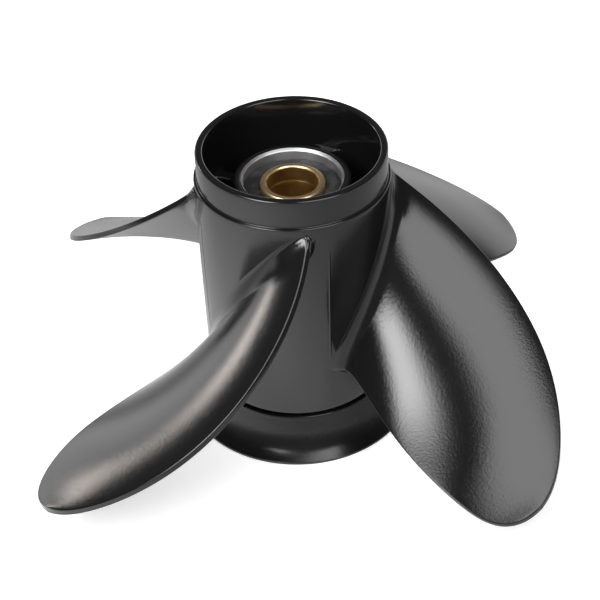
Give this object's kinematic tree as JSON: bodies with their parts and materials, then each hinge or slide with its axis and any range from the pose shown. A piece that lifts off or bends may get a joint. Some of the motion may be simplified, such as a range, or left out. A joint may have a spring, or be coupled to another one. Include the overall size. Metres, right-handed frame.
{
  "type": "outboard motor propeller",
  "caption": "Boat propeller with broad raked blades, an exhaust-through hub, a splined bronze sleeve in a rubber bush and a flared tail ring.",
  "frame": {"origin": "middle of the foot of the flared tail ring, at floor level, on the shaft axis", "axes": "+Z along the shaft axis, from the aft end up to the forward end; blades right-handed; angles round the shaft from +X"},
  "size_m": [0.2064, 0.2064, 0.125],
  "materials": {
    "black_paint": "semi-gloss black baked paint with fine orange peel over cast aluminium",
    "machined_aluminium": "bare turned aluminium at the inner hub's mouth and bore",
    "bush_rubber": "matt dark grey moulded rubber",
    "sleeve_bronze": "turned bronze, smooth, warm orange-gold"
  },
  "bodies": {
    "root": {"outer_barrel": "black_paint", "flared_tail_ring": "black_paint", "inner_hub": "black_paint", "rubber_bush": "bush_rubber", "splined_sleeve": "sleeve_bronze", "blade_1": "black_paint", "blade_2": "black_paint", "blade_3": "black_paint", "blade_4": "black_paint", "hub_web_1": "black_paint", "hub_web_2": "black_paint", "hub_web_3": "black_paint", "hub_web_4": "black_paint"}
  },
  "joints": []
}
